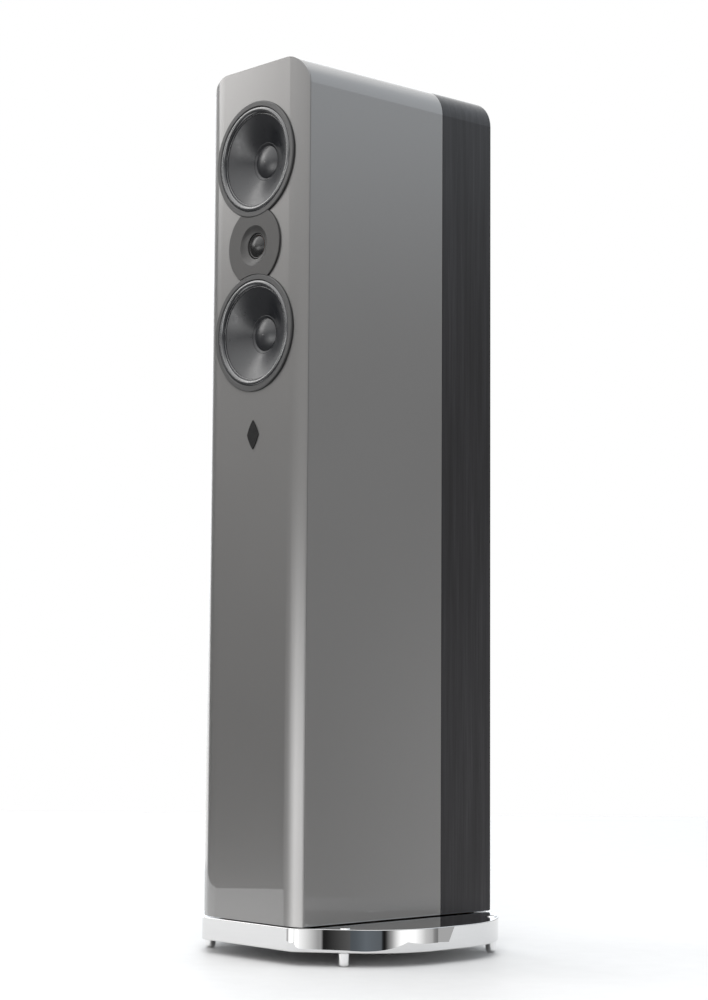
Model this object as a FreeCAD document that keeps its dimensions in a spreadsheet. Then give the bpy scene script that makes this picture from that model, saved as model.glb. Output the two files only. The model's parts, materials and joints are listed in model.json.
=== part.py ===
import FreeCAD, Part
import math
import os

import Sketcher
from FreeCAD import Placement, Rotation, Vector

# Floorstanding two-and-a-half-way speaker on a chromed plinth.
# Row frame: +Z up, the front faces -Y, the origin is under the middle of the plinth's box.
# "Depth" is the distance behind the flat of the front baffle, in millimetres.

SIZES = {
    "overall_height": 1150.0,
    "cabinet_bottom": 47.0,
    "cabinet_width": 194.0,
    "cabinet_depth": 342.4,
    "corner_radius": 38.4,
    "lower_round": 1.6,
    "wrap_thickness": 9.0,
    "gel_thickness": 1.5,
    "shell_thickness": 9.0,
    "seam_gap": 0.4,
    "edge_round": 1.0,
    "rear_round": 4.0,
    "lacquer_end": 246.8,
    "baffle_thickness": 26.0,
    "baffle_flat": 66.0,
    "baffle_sweep": 7.4,
    "baffle_land": 0.4,
    "rear_thickness": 17.0,
    "rear_inset": 1.0,
    "base_top": 65.0,
    "brace_thickness": 18.0,
    "window_half": 55.0,
    "window_front": 60.0,
    "window_rear": 290.0,
    "window_corner": 20.0,
    "upper_woofer_height": 1026.1,
    "lower_woofer_height": 797.6,
    "tweeter_height": 911.9,
    "ring_radius": 76.2,
    "ring_opening": 69.0,
    "ring_proud": 3.0,
    "ring_seat": 2.0,
    "ring_bevel": 0.8,
    "roll_shoulder": -1.8,
    "flange_back": 6.0,
    "basket_radius": 69.0,
    "screw_circle": 73.3,
    "cone_radius": 59.5,
    "cone_neck_depth": 22.6,
    "cap_radius": 21.0,
    "cap_depth": 14.6,
    "cap_rise": 4.7,
    "coil_radius": 16.7,
    "motor_front": 52.0,
    "motor_back": 86.0,
    "magnet_radius": 45.0,
    "plate_radius": 50.6,
    "plate_proud": 2.6,
    "plate_back": 4.4,
    "dish_radius": 26.5,
    "throat_radius": 17.2,
    "dome_radius": 14.0,
    "dome_height": 5.0,
    "dome_rim": 3.8,
    "tweeter_motor_radius": 33.0,
    "tweeter_motor_back": 34.0,
    "port_height": 420.0,
    "port_bore": 30.0,
    "port_wall": 3.0,
    "port_flange": 50.0,
    "port_flare": 14.0,
    "port_length": 150.0,
    "terminal_height": 190.0,
    "terminal_half": 54.0,
    "terminal_depth": 29.0,
    "post_spread": 22.0,
    "post_rise": 24.0,
    "post_radius": 3.2,
    "socket_radius": 2.0,
    "knob_radius": 8.0,
    "plinth_top": 46.0,
    "plinth_height": 28.7,
    "plinth_lip": 4.0,
    "plinth_rear": 346.2,
    "plinth_half": 191.5,
    "nose_half": 78.5,
    "nose_radius": 23.8,
    "flare_angle": 40.2,
    "shoulder_radius": 136.5,
    "tail_radius": 149.8,
    "front_foot_across": 130.0,
    "front_foot_depth": 45.2,
    "rear_foot_across": 141.7,
    "rear_foot_depth": 294.4,
    "stud_radius": 4.0,
    "stud_top": 45.2,
    "bolt_radius": 3.9,
    "bolt_length": 36.0,
    "bolt_seat": 26.0,
    "bolt_head_radius": 6.5,
    "bolt_head_height": 7.0,
    "pad_radius": 7.0,
    "running_gap": 0.05,
    "body_gap": 0.3,
    "badge_height": 665.0,
    "badge_half_width": 11.0,
    "badge_half_height": 19.0,
    "badge_proud": 1.2,
}

UPRIGHT = Rotation()
TO_FRONT = Rotation(Vector(1, 0, 0), 90)
TO_REAR = Rotation(Vector(1, 0, 0), -90)
FULL_TURN = 360

doc = FreeCAD.newDocument("floorstanding_speaker")
sheet = doc.addObject("Spreadsheet::Sheet", "dims")
for row, (name, value) in enumerate(SIZES.items(), 1):
    sheet.set(f"A{row}", name)
    sheet.set(f"B{row}", str(value))
    sheet.setAlias(f"B{row}", name)
doc.recompute()

nodes = {}


class Size:
    """A number worked out from the sheet, together with the expression that gives it."""

    def __init__(self, value, text=None):
        self.value = float(value)
        self.text = text or f"({self.value:.6f})"

    def mix(self, other, sign, value):
        return Size(value, f"({self.text} {sign} {as_size(other).text})")

    def __add__(self, other):
        return self.mix(other, "+", self.value + as_size(other).value)

    def __sub__(self, other):
        return self.mix(other, "-", self.value - as_size(other).value)

    def __mul__(self, other):
        return self.mix(other, "*", self.value * as_size(other).value)

    def __truediv__(self, other):
        return self.mix(other, "/", self.value / as_size(other).value)

    def __neg__(self):
        return Size(-self.value, f"(0 - {self.text})")

    def __rsub__(self, other):
        return as_size(other) - self


def as_size(number):
    return number if isinstance(number, Size) else Size(number)


def dim(name):
    return Size(sheet.get(name), f"dims.{name}")


def sine(angle):
    return Size(math.sin(math.radians(angle.value)), f"sin({angle.text} * 1deg)")


def cosine(angle):
    return Size(math.cos(math.radians(angle.value)), f"cos({angle.text} * 1deg)")


def bind(item, path, size):
    item.setExpression(path, as_size(size).text)


# The flat of the baffle stands this far in front of the middle of the plinth.
FRONT = (dim("plinth_lip") - dim("plinth_rear")) / 2


def put(item, across=0, depth=0, height=0, turn=UPRIGHT):
    """Place an item at a distance across, a depth behind the baffle and a height."""
    places = (("x", as_size(across)), ("y", FRONT + depth), ("z", as_size(height)))
    item.Placement = Placement(Vector(*[size.value for _, size in places]), turn)
    for letter, size in places:
        bind(item, f"Placement.Base.{letter}", size)
    return item


# Sketches.
# An outline is a list of corners. A corner is (x, y), or (x, y, radius) where an arc of that
# radius runs to the next corner; it bulges to the left of the way the outline goes, or to the
# right if the radius is negative.


def arc_middle(start, end, radius):
    chord = end - start
    left = Vector(-chord.y, chord.x, 0).normalize()
    rise = abs(radius) - math.sqrt(radius * radius - chord.Length ** 2 / 4)
    return (start + end) * 0.5 + left * math.copysign(rise, radius)


def draw_outline(sketch, corners):
    first = len(sketch.Geometry)
    places = [(as_size(corner[0]), as_size(corner[1])) for corner in corners]
    spots = [Vector(x.value, y.value, 0) for x, y in places]
    for index, corner in enumerate(corners):
        start = spots[index]
        end = spots[(index + 1) % len(corners)]
        if len(corner) == 3:
            middle = arc_middle(start, end, as_size(corner[2]).value)
            sketch.addGeometry(Part.Arc(start, middle, end), False)
        else:
            sketch.addGeometry(Part.LineSegment(start, end), False)
    begins = []
    for index, spot in enumerate(spots):
        near = (sketch.getPoint(first + index, 1) - spot).Length < 1e-6
        begins.append(1 if near else 2)
    rules = []
    bindings = []
    for index, corner in enumerate(corners):
        edge = first + index
        after = (index + 1) % len(corners)
        rules.append(Sketcher.Constraint("Coincident", edge, 3 - begins[index], first + after, begins[after]))
        for kind, size in (("DistanceX", places[index][0]), ("DistanceY", places[index][1])):
            bindings.append((len(rules), size))
            rules.append(Sketcher.Constraint(kind, -1, 1, edge, begins[index], size.value))
        if len(corner) == 3:
            radius = as_size(corner[2])
            radius = radius if radius.value > 0 else -radius
            bindings.append((len(rules), radius))
            rules.append(Sketcher.Constraint("Radius", edge, radius.value))
    offset = sketch.ConstraintCount
    sketch.addConstraint(rules)
    for index, size in bindings:
        bind(sketch, f"Constraints[{offset + index}]", size)


def draw_circle(sketch, across, up, radius):
    edge = sketch.addGeometry(Part.Circle(Vector(as_size(across).value, as_size(up).value, 0),
                                          Vector(0, 0, 1), as_size(radius).value), False)
    offset = sketch.ConstraintCount
    sketch.addConstraint([
        Sketcher.Constraint("DistanceX", -1, 1, edge, 3, as_size(across).value),
        Sketcher.Constraint("DistanceY", -1, 1, edge, 3, as_size(up).value),
        Sketcher.Constraint("Radius", edge, as_size(radius).value),
    ])
    for index, size in enumerate((across, up, radius)):
        bind(sketch, f"Constraints[{offset + index}]", size)


def sketch_on(body, role, outlines=(), circles=()):
    sketch = body.newObject("Sketcher::SketchObject", f"{body.Name}_sketch")
    plane = [item for item in body.Origin.OriginFeatures if item.Role == role][0]
    sketch.AttachmentSupport = [(plane, "")]
    sketch.MapMode = "FlatFace"
    for outline in outlines:
        draw_outline(sketch, outline)
    for circle in circles:
        draw_circle(sketch, *circle)
    return sketch


# Solids.


def new_body(label):
    body = doc.addObject("PartDesign::Body", label)
    body.Label = label
    return body


def turned(label, profile):
    """A solid of revolution about its own Z axis; the profile's corners are (radius, z)."""
    body = new_body(label)
    spin = body.newObject("PartDesign::Revolution", f"{label}_turned")
    spin.Profile = sketch_on(body, "XZ_Plane", [profile])
    spin.ReferenceAxis = (spin.Profile[0], ["V_Axis"])
    spin.Angle = FULL_TURN
    return body


def raised(label, outlines, height, circles=()):
    """A solid pushed up from its own XY plane."""
    body = new_body(label)
    pad = body.newObject("PartDesign::Pad", f"{label}_pad")
    pad.Profile = sketch_on(body, "XY_Plane", outlines, circles)
    bind(pad, "Length", height)
    return body


def pushed_back(label, outlines, length, circles=()):
    """A solid pushed from its own XZ plane towards +Y, the cabinet's rear."""
    body = new_body(label)
    pad = body.newObject("PartDesign::Pad", f"{label}_pad")
    pad.Profile = sketch_on(body, "XZ_Plane", outlines, circles)
    bind(pad, "Length", length)
    pad.Reversed = True
    return body


def cut_through(body, outlines=(), circles=(), copies=1, depth=None):
    """Cut an outline of the XY plane through the body, or to a depth, repeated about its Z axis."""
    pocket = body.newObject("PartDesign::Pocket", f"{body.Name}_cut")
    pocket.Profile = sketch_on(body, "XY_Plane", outlines, circles)
    if depth is None:
        pocket.Type = "ThroughAll"
        pocket.Midplane = True
    else:
        bind(pocket, "Length", depth)
    if copies > 1:
        pattern = body.newObject("PartDesign::PolarPattern", f"{body.Name}_pattern")
        pattern.Originals = [pocket]
        pattern.Axis = (pocket.Profile[0], ["N_Axis"])
        pattern.Angle = FULL_TURN
        pattern.Occurrences = copies
        body.Tip = pattern
    return body


def round_edges(body, radius, wanted):
    """Round the edges of the body's last feature whose two ends are both wanted."""
    doc.recompute()
    base = body.Tip
    names = []
    for index, edge in enumerate(base.Shape.Edges, 1):
        if all(wanted(vertex.Point) for vertex in edge.Vertexes) and wanted(edge.CenterOfMass):
            names.append(f"Edge{index}")
    fillet = body.newObject("PartDesign::Fillet", f"{body.Name}_round")
    fillet.Base = (base, names)
    bind(fillet, "Radius", radius)
    return body


def at_front(profile):
    """Turn a profile of (radius, depth) corners into the local one, whose Z points forward."""
    return [(corner[0], -as_size(corner[1])) + tuple(-as_size(radius) for radius in corner[2:])
            for corner in profile]


def front_turned(label, profile, height):
    return put(turned(label, at_front(profile)), 0, 0, height, TO_FRONT)


def drill(label, radius, start, end, across, height):
    """A cylinder along the depth, to cut with."""
    tool = doc.addObject("Part::Cylinder", label)
    bind(tool, "Radius", radius)
    bind(tool, "Height", as_size(end) - start)
    return put(tool, across, start, height, TO_REAR)


def cut_with(label, base, tools):
    fuse = doc.addObject("Part::MultiFuse", f"{label}_tools")
    fuse.Shapes = tools
    cut = doc.addObject("Part::Cut", label)
    cut.Base = base
    cut.Tool = fuse if len(tools) > 1 else tools[0]
    cut.Label = label
    return cut


def together(label, items):
    group = doc.addObject("Part::Compound", label)
    group.Links = items
    group.Label = label
    return group


def solid_group(label, solids):
    """Identical or small fixed solids in one node, given in (across, depth, height)."""
    feature = doc.addObject("Part::Feature", label)
    feature.Shape = Part.makeCompound(solids)
    feature.Placement = Placement(Vector(0, FRONT.value, 0), UPRIGHT)
    feature.Label = label
    return feature


def keep(item):
    nodes[item.Label] = item
    return item


# Cabinet.

HALF = dim("cabinet_width") / 2
TOP = dim("overall_height")
BOTTOM = dim("cabinet_bottom")
CORNER = dim("corner_radius")
LAND = dim("baffle_sweep") + dim("baffle_land")
REAR_FACE = dim("cabinet_depth") - dim("rear_inset")
REAR_INNER = REAR_FACE - dim("rear_thickness")
TO_GEL = dim("wrap_thickness")
TO_SHELL = TO_GEL + dim("gel_thickness")
TO_INSIDE = TO_SHELL + dim("shell_thickness")
WOOFERS = {"upper_woofer": dim("upper_woofer_height"), "lower_woofer": dim("lower_woofer_height")}


def arch_outline(inset):
    """The cabinet's front view, closed at the bottom, pulled in by an inset."""
    half = HALF - inset
    top = TOP - inset
    corner = CORNER - inset
    return [
        (-half, BOTTOM),
        (-half, top - corner, corner),
        (corner - half, top),
        (half - corner, top, corner),
        (half, top - corner),
        (half, BOTTOM),
    ]


def outer_outline():
    """The cabinet's outermost front view, with its lower corners rounded."""
    low = dim("lower_round")
    return [
        (low - HALF, BOTTOM, low),
        (-HALF, BOTTOM + low),
        (-HALF, TOP - CORNER, CORNER),
        (CORNER - HALF, TOP),
        (HALF - CORNER, TOP, CORNER),
        (HALF, TOP - CORNER),
        (HALF, BOTTOM + low, low),
        (HALF - low, BOTTOM),
    ]


def inner_run(inset):
    """The way back along the inside of a layer, from its right foot to its left."""
    half = HALF - inset
    top = TOP - inset
    corner = CORNER - inset
    return [
        (half, BOTTOM),
        (half, top - corner, -corner),
        (half - corner, top),
        (corner - half, top, -corner),
        (-half, top - corner),
        (-half, BOTTOM),
    ]


def make_wrap(label, start, end, front_round, rear_round):
    length = as_size(end) - start
    body = pushed_back(label, [outer_outline() + inner_run(TO_GEL)], length)

    def outside(point):
        in_side = abs(point.x) > HALF.value - TO_GEL.value / 2
        return in_side or point.z > TOP.value - TO_GEL.value / 2

    round_edges(body, front_round, lambda point: abs(point.y) < 0.01 and outside(point))
    round_edges(body, rear_round, lambda point: abs(point.y - length.value) < 0.01 and outside(point))
    return keep(put(body, 0, start))


def make_layer(label, outer, inner):
    start = dim("baffle_thickness")
    body = pushed_back(label, [arch_outline(outer) + inner_run(inner)], REAR_INNER - start)
    return keep(put(body, 0, start))


def make_baffle():
    edge = dim("baffle_sweep")
    flat = dim("baffle_flat")
    span = HALF - flat
    sweep = (span * span + edge * edge) / (edge * 2)
    plan = [
        (-HALF, LAND),
        (-HALF, edge, -sweep),
        (-flat, 0),
        (flat, 0, -sweep),
        (HALF, edge),
        (HALF, LAND),
    ]
    curved = put(raised("baffle_plan", [plan], TOP - BOTTOM), 0, 0, BOTTOM)
    arched = put(pushed_back("baffle_front", [outer_outline()], LAND))
    skin = doc.addObject("Part::Common", "baffle_skin")
    skin.Base = curved
    skin.Tool = arched
    plug_length = dim("baffle_thickness") - LAND
    plug = put(pushed_back("baffle_plug", [arch_outline(TO_GEL)], plug_length), 0, LAND)
    board = doc.addObject("Part::Fuse", "baffle_board")
    board.Base = skin
    board.Tool = plug
    through = dim("baffle_thickness")
    tools = []
    for name, height in WOOFERS.items():
        rebate = dim("ring_radius") + dim("body_gap")
        tools.append(drill(f"{name}_rebate", rebate, -1, dim("flange_back"), 0, height))
        hole = dim("basket_radius") + dim("body_gap")
        tools.append(drill(f"{name}_hole", hole, -1, through + 1, 0, height))
        for across, up in screw_places():
            tools.append(drill(f"{name}_pilot", 1.6, 0, through - 3, across, height + up))
    middle = dim("tweeter_height")
    plate = dim("plate_radius") + dim("body_gap")
    tools.append(drill("tweeter_rebate", plate, -1, dim("plate_back"), 0, middle))
    tools.append(drill("tweeter_hole", dim("tweeter_motor_radius") + 4, -1, through + 1, 0, middle))
    for across, up in plate_screws():
        tools.append(drill("tweeter_pilot", 1.6, 0, through + 1, across, middle + up))
    badge = dim("badge_height")
    tools.append(drill("badge_pin_hole", 1.5, -1, 8, 0, badge))
    return keep(cut_with("front_baffle", board, tools))


def screw_places():
    """Where a woofer's six screws stand, across and up from its centre."""
    places = []
    for index in range(6):
        angle = Size(30 + 60 * index)
        places.append((dim("screw_circle") * cosine(angle), dim("screw_circle") * sine(angle)))
    return places


def plate_screws():
    """Where the four screws behind the tweeter's plate stand."""
    return [(across, up) for across in (-43, 43) for up in (-12, 12)]


def make_rear_panel():
    body = pushed_back("rear_board", [arch_outline(TO_GEL)], dim("rear_thickness"))
    put(body, 0, REAR_INNER)
    mouth = dim("port_bore") + dim("port_flare") + 0.5
    hole = drill("port_hole", mouth, REAR_INNER - 1, REAR_FACE + 1, 0, dim("port_height"))
    recess = doc.addObject("Part::Box", "terminal_hole")
    side = (dim("terminal_half") + 3) * 2
    bind(recess, "Length", side)
    bind(recess, "Height", side)
    bind(recess, "Width", dim("rear_thickness") + 2)
    put(recess, -(side / 2), REAR_INNER - 1, dim("terminal_height") - side / 2)
    return keep(cut_with("rear_panel", body, [hole, recess]))


def rectangle(left, right, low, high):
    return [(left, low), (right, low), (right, high), (left, high)]


def rounded_rectangle(left, right, low, high, radius):
    left, right, low, high = (as_size(size) for size in (left, right, low, high))
    turn = -as_size(radius)
    step = as_size(radius)
    return [
        (left + step, low),
        (right - step, low, turn),
        (right, low + step),
        (right, high - step, turn),
        (right - step, high),
        (left + step, high, turn),
        (left, high - step),
        (left, low + step, turn),
    ]


def make_base_panel():
    inside = HALF - TO_INSIDE
    depth = REAR_INNER - dim("baffle_thickness")
    hole = dim("bolt_radius") + 0.1
    bolts = [(across, as_size(along) - dim("baffle_thickness"), hole) for across, along in bolt_places()]
    outline = rectangle(-inside, inside, 0, depth)
    body = raised("base_panel", [outline], dim("base_top") - dim("plinth_top"), bolts)
    return keep(put(body, 0, dim("baffle_thickness"), dim("plinth_top")))


BRACE_HEIGHTS = (300, 520, 690)


def make_braces():
    inside = HALF - TO_INSIDE
    window = dim("window_half")
    start = dim("baffle_thickness")
    outer = rectangle(-inside, inside, 0, REAR_INNER - start)
    corner = dim("window_corner")
    hole = rounded_rectangle(-window, window, dim("window_front") - start, dim("window_rear") - start, corner)
    braces = []
    for height in BRACE_HEIGHTS:
        body = raised(f"brace_{height}", [outer, hole], dim("brace_thickness"))
        braces.append(put(body, 0, start, height))
    return keep(together("window_braces", braces))


def make_port():
    bore = dim("port_bore")
    wall = dim("port_wall")
    flare = dim("port_flare")
    flange = dim("port_flange")
    length = dim("port_length")
    body = turned("port_tube", [
        (bore + wall, -length),
        (bore + wall, wall - flare, flare - wall),
        (bore + flare, 0),
        (flange, 0),
        (flange, wall - 1, -1),
        (flange - 1, wall),
        (bore + flare, wall, -flare),
        (bore, wall - flare),
        (bore, -length),
    ])
    return keep(put(body, 0, REAR_FACE, dim("port_height"), TO_REAR))


def make_wadding():
    """A block of soft filling behind the drivers."""
    half = 70
    low, high = 720, 1085
    start, length = 150, 140
    outline = rounded_rectangle(-half, half, low, high, 30)
    return keep(put(pushed_back("acoustic_wadding", [outline], length), 0, start))


def make_badge():
    """A plain lozenge on the baffle's flat, with a pin behind it."""
    half_wide = dim("badge_half_width")
    half_tall = dim("badge_half_height")
    proud = dim("badge_proud")
    bulge = -60
    plate = [
        (0, -half_tall, bulge),
        (half_wide, 0, bulge),
        (0, half_tall, bulge),
        (-half_wide, 0, bulge),
    ]
    body = put(pushed_back("badge_plate", [plate], proud), 0, -proud, dim("badge_height"))
    pin = drill("badge_pin", 1.4, 0, 7, 0, dim("badge_height"))
    badge = doc.addObject("Part::Fuse", "badge")
    badge.Base = body
    badge.Tool = pin
    return keep(badge)


# Woofers.


def arc_radius(half_chord, rise):
    """The radius of an arc from its half chord and its rise."""
    return (as_size(half_chord) * half_chord + as_size(rise) * rise) / (as_size(rise) * 2)


def make_trim_ring(name, height):
    outer = dim("ring_radius")
    opening = dim("ring_opening")
    proud = dim("ring_proud")
    seat = dim("ring_seat")
    return keep(front_turned(f"{name}_trim_ring", [
        (opening, 1),
        (opening, dim("ring_bevel") - proud),
        (opening + dim("ring_bevel"), -proud),
        (outer - 1, -proud),
        (outer, 1 - proud),
        (outer, seat),
        (opening + 2, seat),
        (opening + 2, 1),
    ], height))


def make_frame(name, height):
    """The cast basket: a flange, a windowed cone and a ledge for the spider."""
    basket = dim("basket_radius")
    flange = dim("flange_back")
    front = dim("motor_front")
    body = turned(f"{name}_frame", at_front([
        (dim("ring_radius") - 0.3, dim("ring_seat")),
        (dim("ring_radius") - 0.3, flange),
        (basket, flange),
        (basket - 0.5, 16),
        (42, 37.5),
        (40, front - 3),
        (40, front),
        (20, front),
        (20, front - 3),
        (37, front - 3),
        (35, 37.5),
        (35, 34.8),
        (39, 34.8),
        (basket - 3, 14),
        (basket - 2, dim("ring_seat")),
    ]))
    cut_through(body, [rounded_rectangle(45, 64, -19, 19, 4)], (), 6)
    across = dim("screw_circle") * cosine(Size(30))
    up = dim("screw_circle") * sine(Size(30))
    cut_through(body, (), [(across, up, 1.7)], 6)
    cut_through(body, (), [(across, up, 2.3)], 6, dim("ring_seat") + 1.7)
    return keep(put(body, 0, 0, height, TO_FRONT))


def make_motor(name, height):
    front = dim("motor_front")
    back = dim("motor_back")
    gap = dim("coil_radius") + 1.6
    plate = turned(f"{name}_top_plate", at_front(
        [(gap, front), (42, front), (42, front + 8), (gap, front + 8)]))
    yoke = turned(f"{name}_yoke", at_front([
        (4, front + 0.5),
        (dim("coil_radius") - 1.4, front + 0.5),
        (dim("coil_radius") - 1.4, back - 8),
        (42, back - 8),
        (42, back - 1),
        (41, back),
        (4, back),
    ]))
    steel = [put(item, 0, 0, height, TO_FRONT) for item in (plate, yoke)]
    keep(together(f"{name}_motor_steel", steel))
    magnet = dim("magnet_radius")
    keep(front_turned(f"{name}_magnet", [
        (24, front + 8),
        (magnet - 1, front + 8),
        (magnet, front + 9),
        (magnet, back - 9),
        (magnet - 1, back - 8),
        (24, back - 8),
    ], height))


def make_surround(name, height):
    """A half-roll of rubber that stands up inside the trim ring and runs down to the cone."""
    outer = dim("ring_opening")
    inner = dim("cone_radius")
    crown = dim("roll_shoulder")
    wall = 1.0
    keep(front_turned(f"{name}_surround", [
        (outer + 1.8, 2),
        (outer + 1.8, 1),
        (outer - 0.3, 1),
        (outer - 0.3, crown, 4.6),
        (inner + 1.2, 1),
        (inner, 1),
        (inner, 1.8),
        (inner + 1.9, 1.8, -3.7),
        (outer - 0.3 - wall, crown + wall),
        (outer - 0.3 - wall, 2),
    ], height))


def make_cone(name, height):
    rim = dim("cone_radius")
    neck = dim("coil_radius")
    depth = dim("cone_neck_depth")
    keep(front_turned(f"{name}_cone", [
        (rim + 1.6, 2.1),
        (rim - 0.2, 2.1, 160),
        (neck + 0.3, depth),
        (neck, depth),
        (neck, depth + 4),
        (neck + 1, depth + 4),
        (neck + 1, depth + 1, -160),
        (rim, 3.2),
        (rim + 1.6, 3.2),
    ], height))
    cap = dim("cap_radius")
    apex = dim("cap_depth")
    rise = dim("cap_rise")
    sphere = arc_radius(cap, rise)
    keep(front_turned(f"{name}_dust_cap", [
        (0, apex),
        (0, apex + 0.7, -(sphere - 0.7)),
        (cap - 0.4, apex + rise + 0.6),
        (cap, apex + rise + 0.6),
        (cap, apex + rise, sphere),
    ], height))


def make_voice_coil(name, height):
    radius = dim("coil_radius")
    start = dim("cone_neck_depth") + 0.2
    keep(front_turned(f"{name}_voice_coil", [
        (radius - 0.6, start),
        (radius, start),
        (radius, 47),
        (radius + 0.8, 47),
        (radius + 0.8, 59),
        (radius - 0.6, 59),
    ], height))


def make_spider(name, height):
    """A corrugated disc that centres the voice coil."""
    inner = dim("coil_radius") + 0.2
    start = 19.5
    pitch = 2.0
    waves = 7
    thickness = 0.6
    level = 34.0
    end = start + pitch * waves
    rim = 38.5
    bend = 1.6
    front = [(start + pitch * index, level, bend * (-1) ** index) for index in range(waves)]
    rear = level + thickness
    back = [(end - pitch * index, rear, bend * (-1) ** (waves - index)) for index in range(waves)]
    outline = [(inner, rear), (inner, level)] + front
    outline += [(end, level), (rim, level), (rim, rear)] + back
    outline.append((start, rear))
    keep(front_turned(f"{name}_spider", outline, height))


def make_woofer(name, height):
    make_trim_ring(name, height)
    make_frame(name, height)
    make_motor(name, height)
    make_surround(name, height)
    make_cone(name, height)
    make_voice_coil(name, height)
    make_spider(name, height)


# Tweeter.


def make_faceplate():
    """The dished plate round the dome; the two woofers' rings cut into its edge."""
    height = dim("tweeter_height")
    plate = dim("plate_radius")
    face = -dim("plate_proud")
    throat = dim("throat_radius")
    back = dim("plate_back")
    boss = dim("tweeter_motor_radius") + 3
    boss_back = back + 3.6
    disc = front_turned("tweeter_disc", [
        (plate, back),
        (plate, face + 0.6),
        (plate - 0.6, face),
        (dim("dish_radius"), face, -18),
        (throat, dim("dome_rim") - 1.6),
        (throat, boss_back),
        (boss, boss_back),
        (boss, back),
    ], height)
    tools = []
    for name, centre in WOOFERS.items():
        bite = dim("ring_radius") + 0.4
        tools.append(drill(f"{name}_bite", bite, face - 1, boss_back + 1, 0, centre))
    for across, up in plate_screws():
        tools.append(drill("plate_thread", 1.5, 1.4, 5, across, height + up))
    keep(cut_with("tweeter_faceplate", disc, tools))


def make_dome():
    """The dome, the coil behind it and the half-roll that holds them."""
    height = dim("tweeter_height")
    radius = dim("dome_radius")
    rise = dim("dome_height")
    rim = dim("dome_rim")
    throat = dim("throat_radius")
    sphere = arc_radius(radius, rise)
    keep(front_turned("tweeter_dome", [
        (0, rim - rise),
        (0, rim - rise + 0.4, -(sphere - 0.4)),
        (radius - 0.5, rim),
        (radius, rim, sphere),
    ], height))
    keep(front_turned("tweeter_voice_coil", [
        (radius - 0.4, rim),
        (radius, rim),
        (radius, rim + 2),
        (radius + 0.3, rim + 2),
        (radius + 0.3, rim + 5),
        (radius - 0.4, rim + 5),
    ], height))
    keep(front_turned("tweeter_surround", [
        (throat - 0.2, rim + 1.2),
        (throat - 0.2, rim + 0.7),
        (throat - 0.7, rim + 0.7, 1.3),
        (radius + 0.6, rim + 0.5),
        (radius + 0.15, rim + 0.5),
        (radius + 0.15, rim + 0.9),
        (radius + 0.9, rim + 0.9, -0.9),
        (throat - 1.1, rim + 1.2),
    ], height))


def make_tweeter_motor():
    """A cup magnet, whose neck rises in the plate's bore to carry the half-roll."""
    radius = dim("dome_radius")
    seat = dim("dome_rim") + 1.2
    shoulder = dim("plate_back") + 3.8
    motor = dim("tweeter_motor_radius")
    floor = dim("tweeter_motor_back") - 6
    back = dim("tweeter_motor_back")
    cup = turned("tweeter_cup", at_front([
        (radius + 0.9, seat),
        (dim("throat_radius") - 0.2, seat),
        (dim("throat_radius") - 0.2, shoulder),
        (motor, shoulder),
        (motor, back - 1),
        (motor - 1, back),
        (0, back),
        (0, floor),
        (20, floor),
        (20, 13),
        (radius + 0.9, 13),
    ]))
    slug = turned("tweeter_slug", at_front([
        (0, seat),
        (radius - 1, seat),
        (radius - 1, floor),
        (0, floor),
    ]))
    pieces = [put(item, 0, 0, dim("tweeter_height"), TO_FRONT) for item in (cup, slug)]
    keep(together("tweeter_magnet", pieces))


def cylinder(radius, start, end, across, height):
    """A plain round bar along the depth."""
    base = Vector(as_size(across).value, start, as_size(height).value)
    return Part.makeCylinder(radius, end - start, base, Vector(0, 1, 0))


def make_driver_screws():
    solids = []
    seat = SIZES["ring_seat"]
    for height in WOOFERS.values():
        for across, up in screw_places():
            shank = cylinder(1.5, seat, 20, across, height + up)
            head = cylinder(2.1, seat + 0.1, seat + 1.6, across, height + up)
            solids.append(shank.fuse(head).removeSplitter())
    inner = SIZES["baffle_thickness"]
    for across, up in plate_screws():
        middle = dim("tweeter_height") + up
        shank = cylinder(1.45, 2, inner + 1, across, middle)
        head = cylinder(3.5, inner, inner + 2.5, across, middle)
        solids.append(shank.fuse(head).removeSplitter())
    keep(solid_group("driver_screws", solids))


# Crossover and wiring.


def bolt_places():
    """Where the four plinth bolts stand, across and along the depth."""
    return [(across, along) for across in (-60, 60) for along in (62, 288)]


def make_crossover():
    board_top = 76.0
    board = raised("crossover_plate", [rectangle(-48, 62, 0, 190)], 2)
    put(board, 0, 88, board_top - 2)
    legs = []
    for across in (-40, 54):
        for along in (96, 270):
            leg = doc.addObject("Part::Cylinder", "crossover_leg")
            leg.Radius = 4
            bind(leg, "Height", Size(board_top - 2) - dim("base_top"))
            legs.append(put(leg, across, along, dim("base_top")))
    carrier = doc.addObject("Part::MultiFuse", "crossover_board")
    carrier.Shapes = [board] + legs
    keep(carrier)
    coils = []
    for index, along in enumerate((122, 178, 234)):
        coil = turned(f"crossover_coil_{index + 1}", [(10, 0), (25, 0), (25, 22), (10, 22)])
        coils.append(put(coil, 32, along, board_top))
    keep(together("crossover_coils", coils))
    cans = []
    for across, radius, start, length in ((-30, 13, 150, 52), (-30, 13, 212, 52), (-4, 9, 150, 40)):
        base = Vector(across, start, board_top + radius)
        cans.append(Part.makeCylinder(radius, length, base, Vector(0, 1, 0)))
    keep(solid_group("crossover_capacitors", cans))


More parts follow.
